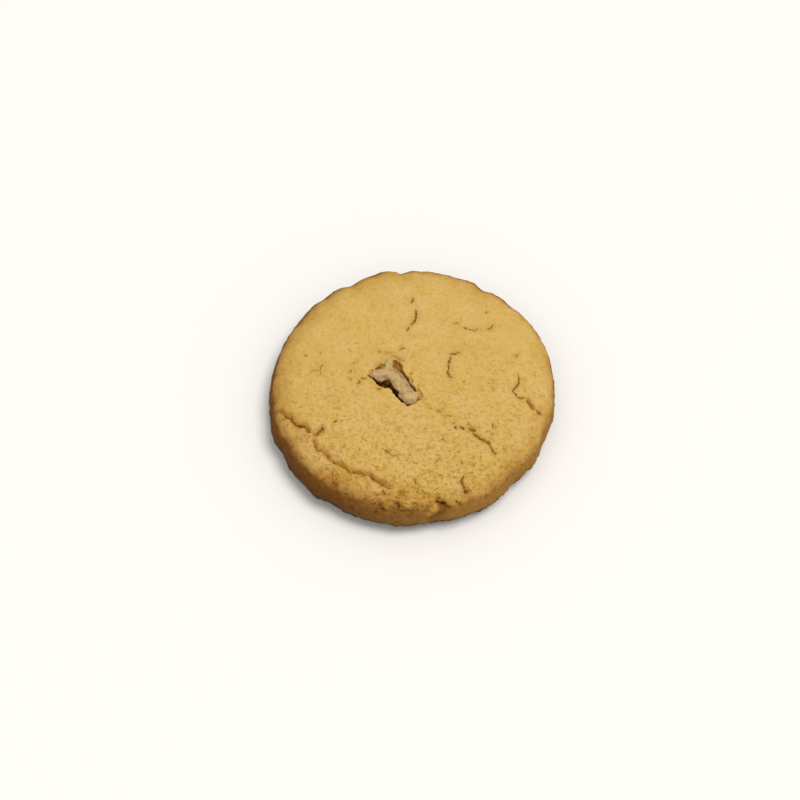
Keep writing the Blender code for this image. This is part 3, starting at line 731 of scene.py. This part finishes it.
def crustMaterial():
    # short biscuit dough, oven baked: a dry matt crust, golden on top and browner down the side,
    # so the eye gets fine crumb, no gloss and warm dark cracks
    s = crustSet
    material, tree = newMaterial("bakedBiscuitCrust")
    coords = addNode(tree, "ShaderNodeTexCoord")
    inMm = addNode(tree, "ShaderNodeVectorMath", {"operation": "SCALE", "Scale": 1 / mm},
                   {0: coords.outputs["Object"]})
    place = inMm.outputs[0]
    rough = addNode(tree, "ShaderNodeAttribute", {"attribute_name": "rough"}).outputs["Fac"]

    # browning by height, with an uneven edge
    size, height = s["raggedness"]
    edgeNoise = addNode(tree, "ShaderNodeTexNoise", {"Scale": 1 / size, "Detail": 4.0}, {"Vector": place})
    push = addNode(tree, "ShaderNodeMath", {"operation": "MULTIPLY_ADD", 1: height, 2: -height / 2},
                   {0: edgeNoise.outputs["Fac"]})
    split = addNode(tree, "ShaderNodeSeparateXYZ", None, {0: place})
    pushed = addNode(tree, "ShaderNodeMath", {"operation": "ADD"},
                     {0: split.outputs["Z"], 1: push.outputs[0]})

    # the browning climbs higher at the front left and the far side, less high at the right and on proud
    # crumbs: partly real browning, partly painted shade on the sides away from the light and painted light
    # on the lit right and on proud crumbs
    level = pushed
    for look in s["sideShadeShifts"]:
        across = addNode(tree, "ShaderNodeVectorMath", {"operation": "DOT_PRODUCT", 1: (*look["way"], 0.0)},
                         {0: place})
        low, high = (share * biscuitSet["radius"] for share in look["span"])
        least, most = look["shift"]
        shift = addNode(tree, "ShaderNodeMapRange", {1: low, 2: high, 3: least, 4: most},
                        {0: across.outputs["Value"]})
        level = addNode(tree, "ShaderNodeMath", {"operation": "ADD"},
                        {0: level.outputs[0], 1: shift.outputs[0]})
    # painted light, with paler crumb, on the proud crumbs
    proud = addNode(tree, "ShaderNodeAttribute", {"attribute_name": "proud"})
    level = addNode(tree, "ShaderNodeMath", {"operation": "MULTIPLY_ADD", 1: s["proudPaleLight"]},
                    {0: proud.outputs["Fac"], 2: level.outputs[0]})
    share = addNode(tree, "ShaderNodeMath", {"operation": "DIVIDE", 1: s["topHeight"]},
                    {0: level.outputs[0]})
    ramp = addNode(tree, "ShaderNodeValToRGB", None, {"Fac": share.outputs[0]})
    stops = ramp.color_ramp.elements
    while len(stops) < len(s["byHeight"]):
        stops.new(0.5)
    for stop, (high, colour) in zip(stops, s["byHeight"]):
        stop.position = high / s["topHeight"]
        stop.color = hexColour(colour)
    low, high = s["topSpan"]
    onTop = addNode(tree, "ShaderNodeMapRange", {1: low, 2: high}, {0: level.outputs[0]})

    # painted light: the side wall is paler towards the right, where the light falls
    look = s["litWall"]
    sideways = addNode(tree, "ShaderNodeVectorMath", {"operation": "DOT_PRODUCT", 1: (*look["way"], 0.0)},
                       {0: place})
    low, high = (share * biscuitSet["radius"] for share in look["span"])
    toSide = addNode(tree, "ShaderNodeMapRange", {1: low, 2: high, 3: 0.0, 4: look["strength"]},
                     {0: sideways.outputs["Value"]})
    onWall = addNode(tree, "ShaderNodeMath", {"operation": "SUBTRACT", 0: 1.0}, {1: onTop.outputs[0]})
    wallLightFac = addNode(tree, "ShaderNodeMath", {"operation": "MULTIPLY"},
                      {0: toSide.outputs[0], 1: onWall.outputs[0]})
    wallLit = addNode(tree, "ShaderNodeMix", {"data_type": "RGBA", 7: hexColour(look["colour"])},
                     {0: wallLightFac.outputs[0], 6: ramp.outputs["Color"]})
    # the dark foot: real browning and painted contact shade under the heel
    look = s["footScorchShade"]
    low, high = look["span"]
    footShadeFac = addNode(tree, "ShaderNodeMapRange", {"interpolation_type": "SMOOTHSTEP", 1: low, 2: high},
                        {0: pushed.outputs[0]})
    based = addNode(tree, "ShaderNodeMix", {"data_type": "RGBA", 7: hexColour(look["colour"])},
                    {0: footShadeFac.outputs[0], 6: wallLit.outputs[2]})

    # pale clouds where the dough baked less, and yellower ones
    look = s["pale"]
    cloud = addNode(tree, "ShaderNodeTexNoise", {"Scale": 1 / look["size"], "Detail": 3.0},
                    {"Vector": place})
    low, high = look["span"]
    cloudFac = addNode(tree, "ShaderNodeMapRange", {1: low, 2: high, 3: 0.0, 4: look["strength"]},
                       {0: cloud.outputs["Fac"]})
    paleFac = addNode(tree, "ShaderNodeMath", {"operation": "MULTIPLY"},
                      {0: cloudFac.outputs[0], 1: onTop.outputs[0]})
    pale = addNode(tree, "ShaderNodeMix", {"data_type": "RGBA", 7: hexColour(look["colour"])},
                   {0: paleFac.outputs[0], 6: based.outputs[2]})
    look = s["yellow"]
    patches = addNode(tree, "ShaderNodeTexNoise", {"Scale": 1 / look["size"], "Detail": 2.0},
                      {"Vector": place})
    low, high = look["span"]
    yellowShare = addNode(tree, "ShaderNodeMapRange", {1: low, 2: high, 3: 0.0, 4: look["strength"]},
                          {0: patches.outputs["Fac"]})
    yellowFac = addNode(tree, "ShaderNodeMath", {"operation": "MULTIPLY"},
                        {0: yellowShare.outputs[0], 1: onTop.outputs[0]})
    yellowed = addNode(tree, "ShaderNodeMix", {"data_type": "RGBA", 7: hexColour(look["colour"])},
                       {0: yellowFac.outputs[0], 6: pale.outputs[2]})

    # the crumb's grain, stronger where the crust is rougher; its low parts are darkened as painted shade
    # beside the bump
    look = s["grain"]
    grain = addNode(tree, "ShaderNodeTexNoise",
                    {"Scale": 1 / look["size"], "Detail": 3.0, "Roughness": 0.6}, {"Vector": place})
    low, high = look["span"]
    grainDark = addNode(tree, "ShaderNodeMapRange", {1: low, 2: high, 3: 0.0, 4: look["strength"]},
                        {0: grain.outputs["Fac"]})
    grainFac = addNode(tree, "ShaderNodeMath", {"operation": "MULTIPLY"},
                       {0: grainDark.outputs[0], 1: rough})
    grained = addNode(tree, "ShaderNodeMix", {"data_type": "RGBA", "blend_type": "MULTIPLY",
                                              7: hexColour(look["tint"])},
                      {0: grainFac.outputs[0], 6: yellowed.outputs[2]})

    # small ragged pits, darkened as painted shade
    look = s["pit"]
    holes = addNode(tree, "ShaderNodeTexNoise", {"Scale": 1 / look["size"], "Detail": 2.0},
                    {"Vector": place})
    low, high = look["level"], look["level"] - look["soft"]
    pitFac = addNode(tree, "ShaderNodeMapRange", {1: low, 2: high, 3: 0.0, 4: look["strength"]},
                     {0: holes.outputs["Fac"]})
    pits = addNode(tree, "ShaderNodeMath", {"operation": "MULTIPLY"}, {0: pitFac.outputs[0], 1: rough})
    pitted = addNode(tree, "ShaderNodeMix", {"data_type": "RGBA", "blend_type": "MULTIPLY",
                                             7: hexColour(look["tint"])},
                     {0: pits.outputs[0], 6: grained.outputs[2]})

    # short shallow dashes, longer from side to side than from front to back, darkened as painted shade
    look = s["dash"]
    wide = addNode(tree, "ShaderNodeVectorMath", {"operation": "MULTIPLY", 1: (look["stretch"], 1.0, 1.0)},
                   {0: place})
    dents = addNode(tree, "ShaderNodeTexNoise", {"Scale": 1 / look["size"], "Detail": 1.0},
                    {"Vector": wide.outputs[0]})
    low, high = look["level"], look["level"] - look["soft"]
    dentFac = addNode(tree, "ShaderNodeMapRange", {1: low, 2: high, 3: 0.0, 4: look["strength"]},
                      {0: dents.outputs["Fac"]})
    dash = addNode(tree, "ShaderNodeMath", {"operation": "MULTIPLY"}, {0: dentFac.outputs[0], 1: rough})
    dashed = addNode(tree, "ShaderNodeMix", {"data_type": "RGBA", "blend_type": "MULTIPLY",
                                             7: hexColour(look["tint"])},
                     {0: dash.outputs[0], 6: pitted.outputs[2]})

    # a broken net of hairlines where the crust dried and pulled apart, darkened as painted shade
    look = s["hairline"]
    warp = addNode(tree, "ShaderNodeTexNoise", {"Scale": 1 / look["warpSize"], "Detail": 2.0},
                   {"Vector": place})
    warped = addNode(tree, "ShaderNodeVectorMath", {"operation": "MULTIPLY_ADD", 1: (look["warp"],) * 3},
                     {0: warp.outputs["Color"], 2: place})
    net = addNode(tree, "ShaderNodeTexVoronoi", {"feature": "DISTANCE_TO_EDGE", "Scale": 1 / look["size"]},
                  {"Vector": warped.outputs[0]})
    netFac = addNode(tree, "ShaderNodeMapRange", {1: look["width"] / look["size"], 2: 0.0, 3: 0.0, 4: 1.0},
                     {0: net.outputs["Distance"]})
    patch = addNode(tree, "ShaderNodeTexNoise", {"Scale": 1 / look["patch"], "Detail": 3.0},
                    {"Vector": place})
    low, high = look["patchSpan"]
    patchFac = addNode(tree, "ShaderNodeMapRange", {1: low, 2: high, 3: 0.0, 4: look["strength"]},
                       {0: patch.outputs["Fac"]})
    netPatch = addNode(tree, "ShaderNodeMath", {"operation": "MULTIPLY"},
                       {0: netFac.outputs[0], 1: patchFac.outputs[0]})
    hairline = addNode(tree, "ShaderNodeMath", {"operation": "MULTIPLY"},
                       {0: netPatch.outputs[0], 1: rough})
    lined = addNode(tree, "ShaderNodeMix", {"data_type": "RGBA", "blend_type": "MULTIPLY",
                                            7: hexColour(look["tint"])},
                    {0: hairline.outputs[0], 6: dashed.outputs[2]})

    # inside the cracks and the kernel's bed, with painted shade in the cracks and the bed's depths
    fissure = addNode(tree, "ShaderNodeAttribute", {"attribute_name": "fissure"})
    look = s["fissure"]
    low, high = look["span"]
    crackShadeFac = addNode(tree, "ShaderNodeMapRange", {1: low, 2: high, 3: 0.0, 4: look["strength"]},
                         {0: fissure.outputs["Fac"]})
    # painted shade where the crust sinks beside a crack
    dipShade = addNode(tree, "ShaderNodeAttribute", {"attribute_name": "dipShade"})
    shadeTinted = addNode(tree, "ShaderNodeMix", {"data_type": "RGBA", "blend_type": "MULTIPLY",
                                              7: hexColour(s["dipShade"])},
                      {0: dipShade.outputs["Fac"], 6: lined.outputs[2]})
    cracked = addNode(tree, "ShaderNodeMix", {"data_type": "RGBA", 7: hexColour(look["colour"])},
                      {0: crackShadeFac.outputs[0], 6: shadeTinted.outputs[2]})
    bed = addNode(tree, "ShaderNodeAttribute", {"attribute_name": "bed"})
    brownBed = addNode(tree, "ShaderNodeMix", {"data_type": "RGBA", 7: hexColour(s["bed"])},
                       {0: bed.outputs["Fac"], 6: cracked.outputs[2]})
    # painted shade with a deeper brown, low in the bed's hollows
    look = s["deepBedShade"]
    low, high = (depth / bedSet["brownAt"] for depth in look["span"])
    bedShadeFac = addNode(tree, "ShaderNodeMapRange", {1: low, 2: high}, {0: bed.outputs["Fac"]})
    bedded = addNode(tree, "ShaderNodeMix", {"data_type": "RGBA", 7: hexColour(look["colour"])},
                     {0: bedShadeFac.outputs[0], 6: brownBed.outputs[2]})

    # relief of the same grain, pits and hairlines, in mm
    grainHigh = addNode(tree, "ShaderNodeMath", {"operation": "MULTIPLY", 1: s["grainRelief"]},
                        {0: grain.outputs["Fac"]})
    lines = addNode(tree, "ShaderNodeMath", {"operation": "MAXIMUM"},
                    {0: dash.outputs[0], 1: hairline.outputs[0]})
    holed = addNode(tree, "ShaderNodeMath", {"operation": "MAXIMUM"},
                    {0: pits.outputs[0], 1: lines.outputs[0]})
    relief = addNode(tree, "ShaderNodeMath", {"operation": "MULTIPLY_ADD", 1: -s["pitRelief"]},
                     {0: holed.outputs[0], 2: grainHigh.outputs[0]})
    bump = addNode(tree, "ShaderNodeBump", {"Strength": 1.0, "Distance": mm}, {"Height": relief.outputs[0]})
    shader = addNode(tree, "ShaderNodeBsdfPrincipled",
                     {"Roughness": s["roughness"], "Specular IOR Level": s["gloss"]},
                     {"Base Color": bedded.outputs[2], "Normal": bump.outputs[0]})
    addNode(tree, "ShaderNodeOutputMaterial", None, {"Surface": shader.outputs[0]})
    return material


def grownTogether(bm, voxel):
    # one closed skin round overlapping lumps
    mesh = bpy.data.meshes.new("lumps")
    bm.to_mesh(mesh)
    bm.free()
    lumps = bpy.data.objects.new("lumps", mesh)
    bpy.context.collection.objects.link(lumps)
    skin = lumps.modifiers.new("skin", "REMESH")
    skin.mode = "VOXEL"
    skin.voxel_size = voxel
    grown = bmesh.new()
    grown.from_object(lumps, bpy.context.evaluated_depsgraph_get())
    bpy.data.objects.remove(lumps, do_unlink=True)
    return grown


def makeKernel():
    s = kernelSet
    bm = bmesh.new()
    for x, y, radius, rise in kernelSpots:
        depth = min(s["depth"], s["depthInRadii"] * radius)
        disc = bmesh.ops.create_cone(bm, cap_ends=True, segments=s["sides"], radius2=radius,
                                     radius1=radius * s["footShare"], depth=depth)["verts"]
        bmesh.ops.translate(bm, verts=disc, vec=(x, y, crustHeight(x, y) + rise - depth / 2))
    bm = grownTogether(bm, s["voxel"])
    for _ in range(s["blending"]):
        bmesh.ops.smooth_vert(bm, verts=bm.verts, factor=0.5,
                              use_axis_x=True, use_axis_y=True, use_axis_z=True)
    bm.normal_update()
    runs = [run for crest in s["crest"] for run in zip(crest, crest[1:])]
    layer = bm.verts.layers.float.new("flank")
    deep = bm.verts.layers.float.new("deep")
    turn = Matrix.Rotation(-math.radians(s["foldTurn"]), 3, "Z")
    for vert in bm.verts:
        place = vert.co.copy()
        along = turn @ place
        along.x *= s["foldStretch"]
        crease = abs(noise.noise(along / s["fold"][0] + Vector(s["foldShift"])))
        fold = min(1.0, crease * s["foldSharp"])
        swell = noise.noise(place / s["swell"][0]) * s["swell"][1]
        grain = noise.noise(place / s["grain"][0]) * s["grain"][1]
        flank = smoothStep(*s["crestWidth"], min(distanceToRun(place, a, b) for a, b in runs))
        crest = s["crestRise"] * (s["crestBase"] - flank)
        folds = s["fold"][1] * (s["foldBase"] - fold)
        vert.co = place + vert.normal * (crest + swell + grain - folds)
        vert[layer] = flank
        # how far below the crust, the mask of its brown skin and painted shade
        vert[deep] = smoothStep(*s["skinShadeDepth"], crustHeight(place.x, place.y) - place.z)
    bmesh.ops.triangulate(bm, faces=bm.faces)
    print("kernel:", len(bm.faces), "faces")
    tree = BVHTree.FromBMesh(bm)
    return finishPiece("walnut_kernel", bm, kernelMaterial()), tree


def distanceToRun(place, a, b):
    # from above, to the straight run between two points
    start, way = Vector(a), Vector(b) - Vector(a)
    share = (place.xy - start).dot(way) / way.length_squared
    return (place.xy - start - way * min(1.0, max(0.0, share))).length


kernelLook = {
    "flesh": "#C6AB6F",  # the broken crest, pale and slightly green
    "flank": "#B8986D",  # the flanks, where a mauve-brown bloom of skin is left
    "bloom": {"size": 1.1111, "spread": 1.2, "span": (0.8, 1.5)},  # how it breaks up, size in mm
    "skin": {"colour": "#9C7952", "span": (1.35, 1.75), "strength": 0.55},
    # brown skin and painted shade where the kernel sinks into the bed
    "deepSkinShade": "#704324",
    "mottle": {"tint": "#CBB698", "size": 1.0, "level": 0.53, "soft": 0.2, "strength": 0.6},
    "wrinkle": {"size": 0.3333, "depth": 0.08},
    "roughness": 0.55,
    "ior": 1.45,
}


def kernelMaterial():
    # walnut kernel, broken and baked: oily pale flesh with thin brown skin left in its folds
    s = kernelLook
    material, tree = newMaterial("bakedWalnutKernel")
    coords = addNode(tree, "ShaderNodeTexCoord")
    inMm = addNode(tree, "ShaderNodeVectorMath", {"operation": "SCALE", "Scale": 1 / mm},
                   {0: coords.outputs["Object"]})
    place = inMm.outputs[0]
    flank = addNode(tree, "ShaderNodeAttribute", {"attribute_name": "flank"})
    look = s["bloom"]
    cloud = addNode(tree, "ShaderNodeTexNoise", {"Scale": 1 / look["size"], "Detail": 4.0},
                    {"Vector": place})
    blend = addNode(tree, "ShaderNodeMath", {"operation": "MULTIPLY_ADD", 1: look["spread"]},
                    {0: cloud.outputs["Fac"], 2: flank.outputs["Fac"]})
    low, high = look["span"]
    flankFac = addNode(tree, "ShaderNodeMapRange", {1: low, 2: high}, {0: blend.outputs[0]})
    flesh = addNode(tree, "ShaderNodeMix", {"data_type": "RGBA", 6: hexColour(s["flesh"]),
                                            7: hexColour(s["flank"])}, {0: flankFac.outputs[0]})
    look = s["skin"]
    low, high = look["span"]
    streak = addNode(tree, "ShaderNodeMapRange", {1: low, 2: high, 3: 0.0, 4: look["strength"]},
                     {0: blend.outputs[0]})
    skinned = addNode(tree, "ShaderNodeMix", {"data_type": "RGBA", 7: hexColour(look["colour"])},
                      {0: streak.outputs[0], 6: flesh.outputs[2]})
    look = s["mottle"]
    spots = addNode(tree, "ShaderNodeTexNoise", {"Scale": 1 / look["size"], "Detail": 3.0},
                    {"Vector": place})
    low, high = look["level"], look["level"] - look["soft"]
    spotFac = addNode(tree, "ShaderNodeMapRange", {1: low, 2: high, 3: 0.0, 4: look["strength"]},
                      {0: spots.outputs["Fac"]})
    mottled = addNode(tree, "ShaderNodeMix", {"data_type": "RGBA", "blend_type": "MULTIPLY",
                                              7: hexColour(look["tint"])},
                      {0: spotFac.outputs[0], 6: skinned.outputs[2]})
    # brown skin and painted shade low on the kernel, inside the bed
    deep = addNode(tree, "ShaderNodeAttribute", {"attribute_name": "deep"})
    shadeTinted = addNode(tree, "ShaderNodeMix", {"data_type": "RGBA", 7: hexColour(s["deepSkinShade"])},
                      {0: deep.outputs["Fac"], 6: mottled.outputs[2]})
    look = s["wrinkle"]
    fine = addNode(tree, "ShaderNodeTexNoise", {"Scale": 1 / look["size"], "Detail": 3.0},
                   {"Vector": place})
    bump = addNode(tree, "ShaderNodeBump", {"Strength": 1.0, "Distance": look["depth"] * mm},
                   {"Height": fine.outputs["Fac"]})
    shader = addNode(tree, "ShaderNodeBsdfPrincipled", {"Roughness": s["roughness"], "IOR": s["ior"]},
                     {"Base Color": shadeTinted.outputs[2], "Normal": bump.outputs[0]})
    addNode(tree, "ShaderNodeOutputMaterial", None, {"Surface": shader.outputs[0]})
    return material


floorSet = {"side": 3.0, "colour": "#FBFBFA", "roughness": 0.6}


def makeFloor(s):
    # matt white sweep: the eye gets a pale ground with one soft contact shadow
    material, tree = newMaterial("mattWhiteGround")
    shader = addNode(tree, "ShaderNodeBsdfPrincipled",
                     {"Base Color": hexColour(s["colour"]), "Roughness": s["roughness"]})
    addNode(tree, "ShaderNodeOutputMaterial", None, {"Surface": shader.outputs[0]})
    bm = bmesh.new()
    bmesh.ops.create_grid(bm, x_segments=1, y_segments=1, size=s["side"] / mm / 2)
    floor = finishPiece("studio_ground", bm, material)


print("camera and light")
makeCamera(cameraSet)
makeLights(lightSet)
makeFloor(floorSet)

kernel, kernelTree = makeKernel()
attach(kernel, "root")
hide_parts("walnut")

crust = makeBiscuit(kernelTree)
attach(crust, "root")
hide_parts("cookie")
